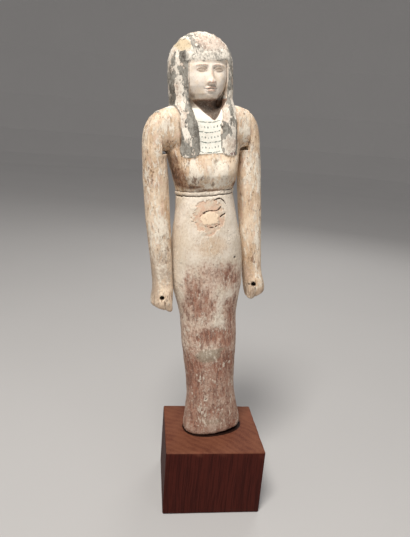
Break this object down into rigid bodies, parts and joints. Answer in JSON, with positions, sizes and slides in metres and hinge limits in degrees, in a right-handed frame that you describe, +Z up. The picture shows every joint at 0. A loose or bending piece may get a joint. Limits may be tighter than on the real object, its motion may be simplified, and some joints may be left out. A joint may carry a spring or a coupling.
{
  "type": "offering bearer figure",
  "caption": "Standing woman carved in painted wood, pegged arms hanging and fists drilled for rods, leaning slightly on a plain square-edged wooden block.",
  "frame": {"origin": "centre of the block's flat underside", "axes": "+Z up; the block's front face looks along -Y; +X is the viewer's right, which is the woman's left"},
  "size_m": [0.0963, 0.061, 0.3252],
  "materials": {
    "base_block": "dark red-brown hardwood, waxed",
    "figure": "worn white ground and paint over old wood, matt",
    "right_arm": "old pale wood with traces of paint, matt",
    "left_arm": "old pale wood with traces of paint, matt"
  },
  "bodies": {
    "root": {"base_block": "base_block", "figure": "figure", "right_arm": "right_arm", "left_arm": "left_arm"}
  },
  "joints": []
}
